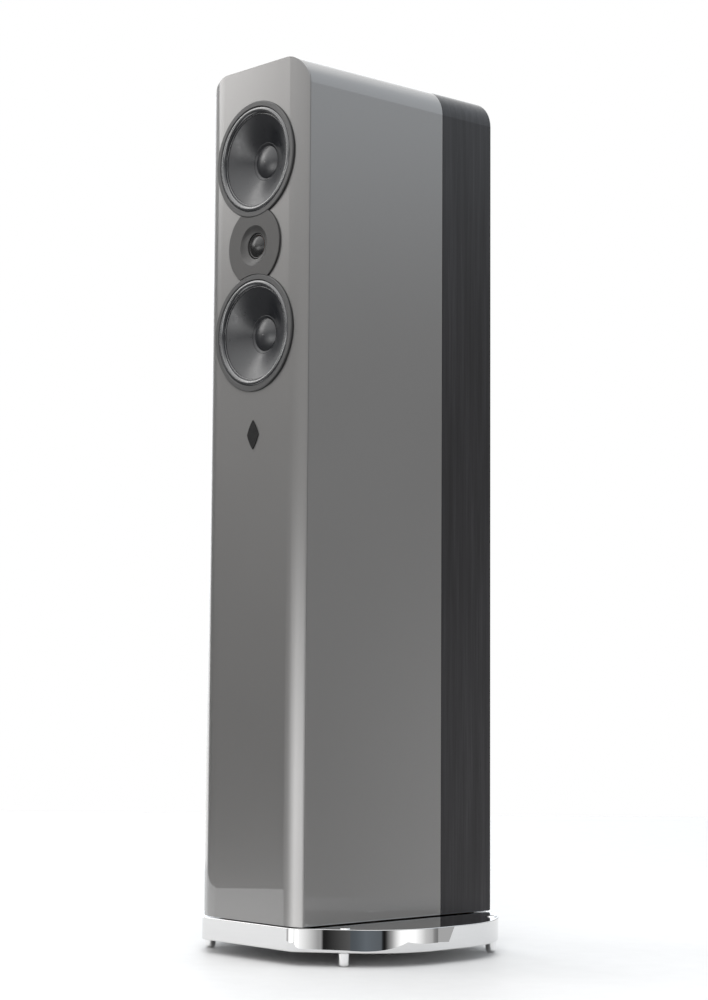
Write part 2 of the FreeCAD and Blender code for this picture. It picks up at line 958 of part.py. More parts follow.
def cable(across, end_depth, height):
    """A twisted pair, drawn as one round cable: up from the board, then forward."""
    bend = 25.0
    back = 120.0
    low = Vector(across, back, 76.0)
    turn_start = Vector(across, back, height - bend)
    turn_middle = Vector(across, back - bend * (1 - math.cos(math.pi / 4)),
                         height - bend * (1 - math.sin(math.pi / 4)))
    turn_end = Vector(across, back - bend, height)
    tip = Vector(across, end_depth, height)
    edges = [
        Part.LineSegment(low, turn_start).toShape(),
        Part.Arc(turn_start, turn_middle, turn_end).toShape(),
        Part.LineSegment(turn_end, tip).toShape(),
    ]
    section = Part.Wire(Part.makeCircle(2.2, low, Vector(0, 0, 1)))
    return Part.Wire(edges).makePipeShell([section], True, False)


def make_wiring():
    back = SIZES["motor_back"]
    solids = [
        cable(-30.0, back, SIZES["lower_woofer_height"]),
        cable(-20.0, 34.0, SIZES["tweeter_height"]),
        cable(-10.0, back, SIZES["upper_woofer_height"]),
    ]
    keep(solid_group("driver_wiring", solids))


# Terminals.


def post_places():
    """The four binding posts, across and up from the terminal cup's centre."""
    spread = dim("post_spread")
    rise = dim("post_rise")
    return [(-spread, rise), (spread, rise), (-spread, -rise), (spread, -rise)]


FLOOR = REAR_FACE - dim("terminal_depth")


def make_terminal_cup():
    half = dim("terminal_half")
    height = dim("terminal_height")
    lip = half + 8
    flange = pushed_back("cup_flange", [rounded_rectangle(-lip, lip, -lip, lip, 9)], 2.5)
    put(flange, 0, REAR_FACE, height)
    wall = half + 2.7
    walls = rounded_rectangle(-wall, wall, -wall, wall, 6)
    box = put(pushed_back("cup_box", [walls], dim("terminal_depth") + 3), 0, FLOOR - 3, height)
    shell = doc.addObject("Part::Fuse", "cup_shell")
    shell.Base = flange
    shell.Tool = box
    room = put(pushed_back("cup_room", [rounded_rectangle(-half, half, -half, half, 4)],
                           dim("terminal_depth") + 5), 0, FLOOR, height)
    tools = [room]
    for across, up in post_places():
        tools.append(drill("post_hole", dim("post_radius"), FLOOR - 4, FLOOR + 1, across, height + up))
    keep(cut_with("terminal_cup", shell, tools))


def make_post(index, across, up):
    radius = dim("post_radius")
    socket = dim("socket_radius")
    post = turned(f"binding_post_{index}", [
        (0, -14),
        (radius, -14),
        (radius, 0),
        (7, 0),
        (7, 3),
        (radius, 3),
        (radius, 21.4),
        (radius - 0.6, 22),
        (socket, 22),
        (socket, 6),
        (0, 6),
    ])
    return put(post, across, FLOOR, dim("terminal_height") + up, TO_REAR)


def make_knob(index, across, up):
    hole = dim("post_radius") + dim("running_gap")
    height = dim("terminal_height") + up
    washer = turned(f"clamp_washer_{index}", [(hole, 4.3), (7, 4.3), (7, 5.5), (hole, 5.5)])
    keep(put(washer, across, FLOOR, height, TO_REAR))
    knob_radius = dim("knob_radius")
    knob = turned(f"post_knob_{index}", [
        (hole, 5.8),
        (6.6, 5.8),
        (6.6, 7.4),
        (knob_radius, 7.4),
        (knob_radius, 18.8),
        (knob_radius - 1.2, 20),
        (hole, 20),
    ])
    cut_through(knob, (), [(knob_radius + 0.7, 0, 1.3)], 14)
    keep(put(knob, across, FLOOR, height, TO_REAR))


def make_terminals():
    make_terminal_cup()
    posts = []
    for index, (across, up) in enumerate(post_places(), 1):
        posts.append(make_post(index, across, up))
        make_knob(index, across, up)
    keep(together("binding_posts", posts))
    links = []
    rise = dim("post_rise")
    for name, across in (("left", -dim("post_spread")), ("right", dim("post_spread"))):
        reach = rise + 4.5
        outline = rounded_rectangle(-4.5, 4.5, -reach, reach, 4.4)
        holes = [(0, rise, dim("post_radius")), (0, -rise, dim("post_radius"))]
        link = pushed_back(f"jumper_{name}", [outline], 1, holes)
        links.append(put(link, across, FLOOR + 3, dim("terminal_height")))
    keep(together("jumper_links", links))


# Plinth and feet.


def plinth_outline():
    """Plan of the plinth: a narrow nose, flares at a slant, broad shoulders and a round tail."""
    lip = -dim("plinth_lip")
    nose = dim("nose_half")
    nose_radius = dim("nose_radius")
    angle = dim("flare_angle")
    flare_x = nose + nose_radius * sine(angle)
    flare_y = lip + nose_radius - nose_radius * cosine(angle)
    shoulder = dim("shoulder_radius")
    shoulder_x = dim("plinth_half") - shoulder + shoulder * sine(angle)
    shoulder_y = flare_y + (shoulder_x - flare_x) * sine(angle) / cosine(angle)
    side_start = shoulder_y + shoulder * cosine(angle)
    tail = dim("tail_radius")
    half = dim("plinth_half")
    rear = dim("plinth_rear")
    right = [
        (nose, lip, -nose_radius),
        (flare_x, flare_y),
        (shoulder_x, shoulder_y, -shoulder),
        (half, side_start),
        (half, rear - tail, -tail),
        (half - tail, rear),
    ]
    left = [
        (tail - half, rear, -tail),
        (-half, rear - tail),
        (-half, side_start, -shoulder),
        (-shoulder_x, shoulder_y),
        (-flare_x, flare_y, -nose_radius),
        (-nose, lip),
    ]
    return right + left


def foot_places():
    front = (dim("front_foot_across"), dim("front_foot_depth"))
    rear = (dim("rear_foot_across"), dim("rear_foot_depth"))
    return [(-front[0], front[1]), front, (-rear[0], rear[1]), rear]


def make_plinth():
    low = dim("plinth_top") - dim("plinth_height")
    slab = raised("plinth_slab", [plinth_outline()], dim("plinth_height"))
    height = SIZES["plinth_height"]
    low_round = 1.5
    top_round = 0.8
    round_edges(slab, low_round, lambda point: point.z < 0.01)
    round_edges(slab, top_round, lambda point: point.z > height - 0.01)
    put(slab, 0, 0, low)
    rings = []
    tools = []
    for across, along in foot_places():
        ring = doc.addObject("Part::Cone", "stud_ring")
        bind(ring, "Radius1", dim("stud_radius") + 4.2)
        bind(ring, "Radius2", dim("stud_radius") + 3.4)
        ring.Height = 1.2
        rings.append(put(ring, across, along, dim("plinth_top")))
        hole = doc.addObject("Part::Cylinder", "stud_hole")
        bind(hole, "Radius", dim("stud_radius") + dim("running_gap"))
        bind(hole, "Height", dim("plinth_top") + 14)
        tools.append(put(hole, across, along, 0))
    above = dim("plinth_top") + 14
    shank_hole = dim("bolt_radius") + 0.1
    head_hole = dim("bolt_head_radius") + dim("body_gap")
    for across, along in bolt_places():
        for radius, top in ((shank_hole, above), (head_hole, dim("bolt_seat"))):
            hole = doc.addObject("Part::Cylinder", "bolt_hole")
            bind(hole, "Radius", radius)
            bind(hole, "Height", top)
            tools.append(put(hole, across, along, 0))
    whole = doc.addObject("Part::MultiFuse", "plinth_whole")
    whole.Shapes = [slab] + rings
    keep(cut_with("plinth", whole, tools))


def make_bolts():
    """Socket-head bolts, sunk into the underside of the plinth."""
    solids = []
    seat = SIZES["bolt_seat"]
    head_height = SIZES["bolt_head_height"]
    key_radius = 3
    key_depth = 4
    for across, along in bolt_places():
        low = Vector(across, along, seat - head_height)
        shank = Part.makeCylinder(SIZES["bolt_radius"], SIZES["bolt_length"], Vector(across, along, seat))
        head = Part.makeCylinder(SIZES["bolt_head_radius"], head_height, low)
        socket = Part.makeCylinder(key_radius, key_depth, low)
        solids.append(shank.fuse(head).cut(socket).removeSplitter())
    keep(solid_group("plinth_bolts", solids))


def make_feet():
    low = SIZES["plinth_top"] - SIZES["plinth_height"]
    radius = dim("pad_radius")
    stud = dim("stud_radius")
    end = dim("stud_top")
    for index, (across, along) in enumerate(foot_places(), 1):
        top = low - SIZES["body_gap"]
        pad = turned(f"foot_pad_{index}", [
            (0, 0),
            (3, 0, -5.6),
            (radius, 3.4),
            (radius, top - 0.8),
            (radius - 0.8, top),
            (stud + 0.08, top),
            (stud + 0.08, 6),
            (0, 6),
        ])
        keep(put(pad, across, along, 0))
        rod = turned(f"foot_stud_{index}", [
            (0, 6.3),
            (stud - 0.6, 6.3),
            (stud, 6.9),
            (stud, end - 0.6),
            (stud - 0.6, end),
            (0, end),
        ])
        key = 2.3
        hexagon = [(key * math.cos(math.pi * side / 3), key * math.sin(math.pi * side / 3))
                   for side in range(6)]
        pocket = rod.newObject("PartDesign::Pocket", f"{rod.Name}_socket")
        sketch = sketch_on(rod, "XY_Plane", [hexagon])
        sketch.AttachmentOffset = Placement(Vector(0, 0, end.value), UPRIGHT)
        pocket.Profile = sketch
        pocket.Length = 5
        keep(put(rod, across, along, 0))


def check_and_export():
    doc.recompute()
    for item in doc.Objects:
        if "Invalid" in item.State or "Error" in item.State:
            raise RuntimeError(f"{item.Label} did not build: {item.State}")
    os.makedirs("parts", exist_ok=True)
    for label, item in nodes.items():
        shape = item.Shape
        if shape.isNull() or not shape.isValid():
            raise RuntimeError(f"{label} has no valid shape")
        shape.exportStep(f"parts/{label}.step")
    print(f"{len(nodes)} sub-parts written")


make_baffle()
make_wrap("cabinet_wrap", LAND + dim("seam_gap"), dim("lacquer_end") - dim("seam_gap") / 2,
          dim("edge_round"), dim("edge_round") / 2)
make_wrap("veneer_wrap", dim("lacquer_end") + dim("seam_gap") / 2, dim("cabinet_depth"),
          dim("edge_round") / 2, dim("rear_round"))
make_layer("damping_layer", TO_GEL, TO_SHELL)
make_layer("inner_shell", TO_SHELL, TO_INSIDE)
make_rear_panel()
make_base_panel()
make_braces()
make_port()
make_wadding()
make_badge()
for woofer, woofer_height in WOOFERS.items():
    make_woofer(woofer, woofer_height)
make_faceplate()
make_dome()
make_tweeter_motor()
make_driver_screws()
make_crossover()
make_wiring()
make_terminals()
make_plinth()
make_bolts()
make_feet()
check_and_export()
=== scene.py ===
import json
import math

import bmesh
import bpy
from mathutils import Matrix, Vector
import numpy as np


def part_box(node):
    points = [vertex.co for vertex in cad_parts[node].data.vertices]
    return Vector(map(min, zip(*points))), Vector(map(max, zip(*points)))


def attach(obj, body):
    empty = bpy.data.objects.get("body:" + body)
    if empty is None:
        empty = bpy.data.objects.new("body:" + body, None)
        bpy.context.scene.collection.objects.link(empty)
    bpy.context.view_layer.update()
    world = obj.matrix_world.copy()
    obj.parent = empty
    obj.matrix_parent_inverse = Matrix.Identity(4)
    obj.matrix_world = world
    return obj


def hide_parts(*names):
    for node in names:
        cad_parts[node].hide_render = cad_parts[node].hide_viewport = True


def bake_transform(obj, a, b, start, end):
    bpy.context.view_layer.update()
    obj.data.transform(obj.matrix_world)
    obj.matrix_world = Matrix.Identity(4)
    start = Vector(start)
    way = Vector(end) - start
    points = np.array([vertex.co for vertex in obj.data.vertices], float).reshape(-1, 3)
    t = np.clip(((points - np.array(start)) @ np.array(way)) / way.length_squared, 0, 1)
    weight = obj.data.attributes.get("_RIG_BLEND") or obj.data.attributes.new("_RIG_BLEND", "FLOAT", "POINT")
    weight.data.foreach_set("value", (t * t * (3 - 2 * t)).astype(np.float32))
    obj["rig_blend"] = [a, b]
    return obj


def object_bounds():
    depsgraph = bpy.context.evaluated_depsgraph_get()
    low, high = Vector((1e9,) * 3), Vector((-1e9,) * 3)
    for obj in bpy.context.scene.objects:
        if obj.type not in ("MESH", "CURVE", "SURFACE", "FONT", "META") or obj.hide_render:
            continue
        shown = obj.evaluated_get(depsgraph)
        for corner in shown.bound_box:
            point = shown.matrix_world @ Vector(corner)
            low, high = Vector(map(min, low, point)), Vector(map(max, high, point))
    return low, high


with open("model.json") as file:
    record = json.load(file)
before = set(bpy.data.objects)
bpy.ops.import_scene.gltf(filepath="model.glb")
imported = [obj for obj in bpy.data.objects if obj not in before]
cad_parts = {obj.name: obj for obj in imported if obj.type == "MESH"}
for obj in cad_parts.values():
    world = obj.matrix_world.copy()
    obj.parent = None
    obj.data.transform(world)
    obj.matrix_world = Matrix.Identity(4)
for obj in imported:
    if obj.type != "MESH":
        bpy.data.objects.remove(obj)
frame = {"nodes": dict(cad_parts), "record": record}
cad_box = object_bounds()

MM = 0.001
scene = bpy.context.scene
nodes = frame["nodes"]
WOOFERS = ("upper_woofer", "lower_woofer")
# The depth at which the front baffle begins: the plane of its flat.
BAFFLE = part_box("front_baffle")[0][1]


def front_of(name, across, height):
    """Where a line along the depth first meets a node."""
    start = Vector((across, cad_box[0][1] - 1, height))
    found, spot, normal, face = nodes[name].ray_cast(start, Vector((0, 1, 0)))
    return spot.y


# Camera: a long lens low beside the speaker's right front corner.
LENS_MM = 78.81
SENSOR_MM = 36.0
CAMERA_AT = Vector((2.1412, -1.9798, 0.3452))
YAW = 0.8342
PITCH = 0.0917
ROLL = 0.0073
SHIFT = (0.02463, -0.01656)


def make_camera():
    forward = Vector((-math.sin(YAW) * math.cos(PITCH), math.cos(YAW) * math.cos(PITCH), math.sin(PITCH)))
    level = Vector((math.cos(YAW), math.sin(YAW), 0))
    upright = level.cross(forward)
    right = level * math.cos(ROLL) + upright * math.sin(ROLL)
    up = upright * math.cos(ROLL) - level * math.sin(ROLL)
    data = bpy.data.cameras.new("camera")
    data.lens = LENS_MM
    data.sensor_width = SENSOR_MM
    data.shift_x, data.shift_y = SHIFT
    data.clip_start = 0.05
    data.clip_end = 100
    camera = bpy.data.objects.new("camera", data)
    scene.collection.objects.link(camera)
    turn = Matrix((right, up, -forward)).transposed().to_4x4()
    camera.matrix_world = Matrix.Translation(CAMERA_AT) @ turn
    scene.camera = camera


# Materials.


class Paint:
    """A node material with one Principled shader, and short ways to add its textures."""

    def __init__(self, name):
        self.material = bpy.data.materials.new(name)
        self.material.use_nodes = True
        self.tree = self.material.node_tree
        self.shader = self.tree.nodes["Principled BSDF"]
        self.place = self.add("ShaderNodeTexCoord").outputs["Object"]

    def add(self, kind, **settings):
        node = self.tree.nodes.new(kind)
        for key, value in settings.items():
            setattr(node, key, value)
        return node

    def join(self, source, target):
        self.tree.links.new(source, target)

    def set(self, **values):
        for name, value in values.items():
            self.shader.inputs[name.replace("_", " ")].default_value = value

    def scaled(self, scale):
        mapping = self.add("ShaderNodeMapping")
        mapping.inputs["Scale"].default_value = scale
        self.join(self.place, mapping.inputs["Vector"])
        return mapping.outputs["Vector"]

    def noise(self, scale, detail, vector=None, roughness=0.5):
        node = self.add("ShaderNodeTexNoise")
        node.inputs["Scale"].default_value = scale
        node.inputs["Detail"].default_value = detail
        node.inputs["Roughness"].default_value = roughness
        self.join(vector or self.place, node.inputs["Vector"])
        return node.outputs["Fac"]

    def ramp(self, value, stops):
        node = self.add("ShaderNodeValToRGB")
        ramp = node.color_ramp
        while len(ramp.elements) < len(stops):
            ramp.elements.new(0.5)
        for element, (position, color) in zip(ramp.elements, stops):
            element.position = position
            element.color = (*color, 1)
        self.join(value, node.inputs["Fac"])
        return node.outputs["Color"]

    def span(self, value, low, high, source=(0.3, 0.7)):
        node = self.add("ShaderNodeMapRange")
        node.inputs["From Min"].default_value, node.inputs["From Max"].default_value = source
        node.inputs["To Min"].default_value = low
        node.inputs["To Max"].default_value = high
        self.join(value, node.inputs["Value"])
        return node.outputs["Result"]

    def math(self, operation, first, second):
        node = self.add("ShaderNodeMath", operation=operation)
        for socket, value in zip(node.inputs, (first, second)):
            if isinstance(value, (int, float)):
                socket.default_value = value
            else:
                self.join(value, socket)
        return node.outputs["Value"]

    def color(self, value):
        self.join(value, self.shader.inputs["Base Color"])

    def rough(self, value):
        self.join(value, self.shader.inputs["Roughness"])

    def bump(self, height, distance):
        node = self.add("ShaderNodeBump")
        node.inputs["Distance"].default_value = distance
        node.inputs["Strength"].default_value = 1.0
        self.join(height, node.inputs["Height"])
        self.join(node.outputs["Normal"], self.shader.inputs["Normal"])


def grey(level, warm=0.0):
    return (level * (1 + warm), level, level * (1 - warm))


def plain(name, color, roughness, metallic=0.0, grain=900, depth=0.00002, spread=0.08, **extra):
    """A surface with a fine grain: its colour, gloss and height vary a little."""
    paint = Paint(name)
    paint.set(Metallic=metallic, **extra)
    value = paint.noise(grain, 3)
    dark = tuple(part * (1 - spread) for part in color)
    light = tuple(min(1, part * (1 + spread)) for part in color)
    paint.color(paint.ramp(value, [(0.3, dark), (0.7, light)]))
    paint.rough(paint.span(paint.noise(grain / 6, 3), roughness * 0.88, roughness * 1.12))
    if depth:
        paint.bump(value, depth)
    return paint.material


def silver_lacquer():
    paint = Paint("silver_lacquer")
    paint.set(Metallic=0.5, Coat_Weight=1.0, Coat_Roughness=0.015, Coat_IOR=1.8)
    flakes = paint.noise(2600, 2)
    paint.color(paint.ramp(flakes, [(0.3, grey(0.200, 0.02)), (0.7, grey(0.230, 0.02))]))
    paint.rough(paint.span(paint.noise(9, 2), 0.29, 0.32))
    return paint.material


def ebony_veneer():
    paint = Paint("ebony_veneer")
    paint.set(Specular_IOR_Level=0.2, Coat_Weight=0.55, Coat_Roughness=0.05, Coat_IOR=1.5)
    warp = paint.noise(1.0, 3, paint.scaled((14, 14, 1.6)), 0.6)
    stripes = paint.noise(1.0, 6, paint.scaled((180, 180, 5)), 0.65)
    pores = paint.noise(1.0, 4, paint.scaled((1500, 1500, 30)), 0.6)
    grain = paint.math("ADD", paint.math("MULTIPLY", stripes, 0.6), paint.math("MULTIPLY", warp, 0.4))
    paint.color(paint.ramp(grain, [
        (0.36, (0.013, 0.012, 0.013)),
        (0.50, (0.021, 0.020, 0.022)),
        (0.62, (0.033, 0.031, 0.034)),
    ]))
    paint.rough(paint.span(grain, 0.42, 0.30))
    paint.bump(paint.math("ADD", paint.math("MULTIPLY", pores, 0.5), grain), 0.00006)
    return paint.material


def make_materials():
    return {
        "silver_lacquer": silver_lacquer(),
        "ebony_veneer": ebony_veneer(),
        "damping_gel": plain("damping_gel", (0.30, 0.27, 0.22), 0.6),
        "mdf": plain("mdf", (0.42, 0.30, 0.19), 0.85, grain=500, depth=0.0001, spread=0.15),
        "moulded_black": plain("moulded_black", grey(0.022), 0.48, grain=1500, depth=0.00004),
        "wadding": plain("wadding", grey(0.6), 0.95, grain=200, depth=0.002, spread=0.2),
        "cable_sheath": plain("cable_sheath", grey(0.03), 0.5),
        "circuit_board": plain("circuit_board", (0.02, 0.12, 0.04), 0.4),
        "copper": plain("copper", (0.62, 0.24, 0.10), 0.3, metallic=1),
        "film_capacitor": plain("film_capacitor", (0.55, 0.38, 0.05), 0.35),
        "gold_plate": plain("gold_plate", (0.78, 0.55, 0.20), 0.18, metallic=1),
        "knob_black": plain("knob_black", grey(0.02), 0.35),
        "knob_red": plain("knob_red", (0.32, 0.008, 0.008), 0.35),
        "cast_grey": plain("cast_grey", grey(0.06), 0.55, grain=700, depth=0.0001),
        "zinc_steel": plain("zinc_steel", grey(0.55), 0.35, metallic=1),
        "ferrite": plain("ferrite", grey(0.04), 0.6),
        "trim_metal": plain("trim_metal", grey(0.11), 0.38, metallic=0.6, grain=1800, depth=0.000015),
        "roll_rubber": plain("roll_rubber", (0.011, 0.012, 0.015), 0.25,
                             grain=700, depth=0, spread=0.03, IOR=2.5),
        "cone_grey": plain("cone_grey", (0.009, 0.010, 0.013), 0.31,
                           grain=1200, depth=0, spread=0.04, IOR=1.8),
        "spider_cloth": plain("spider_cloth", (0.45, 0.33, 0.12), 0.8),
        "black_steel": plain("black_steel", grey(0.03), 0.4, metallic=0.8),
        "faceplate_satin": plain("faceplate_satin", grey(0.09, 0.02), 0.38,
                                 metallic=0.3, grain=1800, depth=0.00002),
        "dome_fabric": plain("dome_fabric", grey(0.015), 0.28,
                             metallic=0.3, grain=3000, depth=0.000004, spread=0.2, IOR=1.9),
        "polished_plinth": plain("polished_plinth", grey(0.72), 0.004, metallic=1, depth=0, spread=0.01),
        "chrome_steel": plain("chrome_steel", grey(0.90), 0.05, metallic=1, depth=0, spread=0.01),
        "badge_metal": plain("badge_metal", grey(0.03), 0.22, metallic=0.5),
    }


def dress(materials):
    for part in frame["record"]["subparts"]:
        piece = nodes[part["node"]]
        piece.data.materials.clear()
        piece.data.materials.append(materials[part["material_slot"]])


# Pieces.


def link_mesh(name, mesh, material):
    piece = bpy.data.objects.new(name, mesh)
    scene.collection.objects.link(piece)
    piece.data.materials.append(material)
    for face in mesh.polygons:
        face.use_smooth = True
    return piece


def lathe(name, profile, centre, material, steps=192, sweep=(0, 360)):
    """A ring turned about the depth axis through a centre, or a stretch of one with closed ends.

    Corners are (radius, depth) round a closed section; a sweep is in degrees from +X towards +Z.
    """
    mesh = bpy.data.meshes.new(name)
    shape = bmesh.new()
    start, end = (math.radians(angle) for angle in sweep)
    whole = end - start > 2 * math.pi - 0.001
    stations = []
    for step in range(steps if whole else steps + 1):
        angle = start + (end - start) * step / steps
        along = Vector((math.cos(angle), 0, math.sin(angle)))
        stations.append([shape.verts.new(centre + along * radius + Vector((0, depth, 0)))
                         for radius, depth in profile])
    pairs = list(zip(stations, stations[1:]))
    if whole:
        pairs.append((stations[-1], stations[0]))
    else:
        shape.faces.new(stations[0])
        shape.faces.new(reversed(stations[-1]))
    count = len(profile)
    for near, far in pairs:
        for index in range(count):
            after = (index + 1) % count
            shape.faces.new((near[index], near[after], far[after], far[index]))
    bmesh.ops.recalc_face_normals(shape, faces=shape.faces)
    shape.to_mesh(mesh)
    shape.free()
    return link_mesh(name, mesh, material)


def arc(start, end, rise, count=12):
    """Points from start to end on an arc that stands out by rise to the left of the way."""
    start = Vector(start)
    end = Vector(end)
    chord = end - start
    half = chord.length / 2
    radius = (half * half + rise * rise) / (2 * abs(rise))
    side = Vector((-chord.y, chord.x)).normalized() * math.copysign(1, rise)
    hub = (start + end) / 2 - side * (radius - abs(rise))
    reach = math.asin(min(1, half / radius))
    if abs(rise) > half:
        reach = math.pi - reach
    points = []
    for index in range(count + 1):
        angle = reach * (2 * index / count - 1)
        spoke = side * math.cos(angle) + chord.normalized() * math.sin(angle)
        points.append(tuple(hub + spoke * radius))
    return points


def bend_between(piece, centre, fixed, moving, outer, inner):
    """The piece flexes from its still outer rim to the inner rim, which a moving body carries."""
    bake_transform(piece, fixed, moving, centre + Vector((outer, 0, 0)), centre + Vector((inner, 0, 0)))
    weights = piece.data.attributes["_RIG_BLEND"].data
    for vertex, weight in zip(piece.data.vertices, weights):
        offset = vertex.co - centre
        share = (outer - math.hypot(offset.x, offset.z)) / (outer - inner)
        share = min(1, max(0, share))
        weight.value = share * share * (3 - 2 * share)


def driver_centre(name):
    """The middle of a driver's moving part, in the plane of the baffle's flat."""
    low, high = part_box(name)
    return Vector(((low[0] + high[0]) / 2, BAFFLE, (low[2] + high[2]) / 2))


def roll_section(outer, inner):
    """Section of a woofer's half-roll: an outer wall, the roll, and a lip glued on the cone."""
    wall = 0.9 * MM
    level = -1.8 * MM
    lip = 1.4 * MM
    front = [(outer + 1.6 * MM, 1.1 * MM), (outer + 0.2 * MM, 1.1 * MM), (outer, 0.8 * MM)]
    front += arc((outer, level), (inner + lip, 0.9 * MM), 2.9 * MM, 20)
    front += arc((inner + lip - 0.3 * MM, 0.95 * MM), (inner, 1.3 * MM), 0.25 * MM, 5)
    back = [(inner, 1.85 * MM)]
    back += arc((inner + lip, 0.9 * MM + wall), (outer - wall, level + wall), -2.3 * MM, 16)
    back += [(outer - wall, 1.95 * MM), (outer + 1.6 * MM, 1.95 * MM)]
    return front + back


def make_rolls(finishes):
    for woofer in WOOFERS:
        centre = driver_centre(f"{woofer}_cone")
        outer = 68.7 * MM
        inner = 59.6 * MM
        roll = lathe(f"{woofer}_half_roll", roll_section(outer, inner), centre,
                     finishes["roll_rubber"])
        bend_between(roll, centre, "cabinet", f"{woofer}_moving", outer - 0.3 * MM, inner + 1.2 * MM)
        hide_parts(f"{woofer}_surround")


def make_spiders(finishes):
    """Corrugated cloth discs behind the cones."""
    for woofer in WOOFERS:
        centre = driver_centre(f"{woofer}_cone")
        low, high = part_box(f"{woofer}_spider")
        level = (low[1] + high[1]) / 2 - BAFFLE
        inner = 16.95 * MM
        outer = 38.4 * MM
        first = 19.5 * MM
        last = 34.0 * MM
        pitch = 4 * MM
        height = 0.75 * MM
        cloth = 0.3 * MM
        count = 84
        front = []
        for index in range(count + 1):
            radius = inner + (outer - inner) * index / count
            phase = 2 * math.pi * (radius - first) / pitch
            swell = min(1, max(0, (radius - first) / (2 * MM)), max(0, (last - radius) / (2 * MM)))
            front.append((radius, level - cloth + height * swell * math.sin(phase)))
        back = [(radius, depth + 2 * cloth) for radius, depth in reversed(front)]
        disc = lathe(f"{woofer}_centring_disc", front + back, centre,
                     finishes["spider_cloth"], 144)
        bend_between(disc, centre, "cabinet", f"{woofer}_moving", 36 * MM, 18 * MM)
        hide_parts(f"{woofer}_spider")


def make_tweeter_roll(finishes):
    centre = driver_centre("tweeter_dome")
    low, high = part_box("tweeter_surround")
    seat = high[1] - BAFFLE
    outer = 17.0 * MM
    inner = 13.75 * MM
    section = [(outer, seat), (outer, seat - 0.5 * MM)]
    section += arc((outer - 0.4 * MM, seat - 0.5 * MM), (inner + 0.5 * MM, seat - 0.6 * MM), 1.0 * MM, 12)
    section += [(inner, seat - 0.6 * MM), (inner, seat - 0.3 * MM)]
    section += arc((inner + 0.8 * MM, seat - 0.3 * MM), (outer - 0.9 * MM, seat - 0.2 * MM), -0.6 * MM, 8)
    roll = lathe("tweeter_half_roll", section, centre, finishes["dome_fabric"], 144)
    bend_between(roll, centre, "cabinet", "tweeter_moving", outer - 0.3 * MM, inner + 0.4 * MM)
    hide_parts("tweeter_surround")


def make_beads(finishes):
    """The thin bead of the glued joint round each dust cap."""
    for woofer in WOOFERS:
        centre = driver_centre(f"{woofer}_cone")
        radius = 24.6 * MM
        depth = front_of(f"{woofer}_cone", centre.x + radius, centre.z) - BAFFLE
        wide = 0.45 * MM
        section = arc((radius + wide, depth + 0.3 * MM), (radius - wide, depth + 0.5 * MM), 0.75 * MM, 8)
        bead = lathe(f"{woofer}_bead", section, centre, finishes["cone_grey"], 160)
        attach(bead, f"{woofer}_moving")


def make_screws(finishes):
    """Socket-headed screws at the corners of the terminal cup and round the reflex port."""
    inset = 4.7 * MM
    port_inset = 3.6 * MM
    low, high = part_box("terminal_cup")
    places = []
    for across in (low[0] + inset, high[0] - inset):
        for up in (low[2] + inset, high[2] - inset):
            places.append(("cup", across, high[1], up))
    low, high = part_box("port_tube")
    across = (low[0] + high[0]) / 2
    up = (low[2] + high[2]) / 2
    reach = ((high[0] - low[0]) / 2 - port_inset) / math.sqrt(2)
    for side in (-1, 1):
        for rise in (-1, 1):
            places.append(("port", across + side * reach, high[1], up + rise * reach))
    bore = 0.9 * MM
    head = 2.3 * MM
    seat = -0.4 * MM
    top = 0.8 * MM
    section = [(bore, seat), (head, seat)]
    section += arc((head, 0.2 * MM), (1.3 * MM, top), 0.15 * MM, 5) + [(bore, top)]
    for index, (owner, across, depth, up) in enumerate(places):
        screw = lathe(f"{owner}_screw_{index % 4 + 1}", section, Vector((across, depth, up)),
                      finishes["black_steel"], 32)
        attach(screw, "cabinet")


def make_knob_rings(finishes):
    """A gilt ring let into the end of each post knob."""
    seat = -0.3 * MM
    top = 0.25 * MM
    section = [(6.3 * MM, seat), (6.2 * MM, top), (5.3 * MM, top), (5.2 * MM, seat)]
    for index in range(1, 5):
        low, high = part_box(f"post_knob_{index}")
        centre = Vector(((low[0] + high[0]) / 2, high[1], (low[2] + high[2]) / 2))
        ring = lathe(f"knob_ring_{index}", section, centre, finishes["gold_plate"], 64)
        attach(ring, f"knob_body_{index}")


def shade_ring_section(outer):
    """Section of a painted shade ring: a thin black skin that goes back from just behind the rim it lies
    round.
    """
    inner = outer - 0.24 * MM
    return [(outer, 0.8 * MM), (inner, 0.8 * MM), (inner, -1.3 * MM), (outer, -1.2 * MM)]


def make_shade_rings(finishes):
    """Painted shade: thin black skins round the trim rings' outer walls and beside the tweeter's plate,
    which show as dark lines where those side walls fall in shade.
    """
    shade_black = finishes["moulded_black"]
    for woofer in WOOFERS:
        # Painted shade: a black skin on the trim ring's outer wall stands for the shade there.
        shade_ring = lathe(f"{woofer}_gasket", shade_ring_section(76.46 * MM), driver_centre(f"{woofer}_cone"),
                       shade_black)
        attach(shade_ring, "cabinet")
    spread = 56.5
    for side, start in (("right", -spread), ("left", 180 - spread)):
        # Painted shade: black arcs on the tweeter plate's side walls stand for the shade there.
        shade_ring = lathe(f"tweeter_gasket_{side}", shade_ring_section(50.86 * MM), driver_centre("tweeter_dome"),
                       shade_black, 72, (start, start + 2 * spread))
        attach(shade_ring, "cabinet")


# Stage and light.

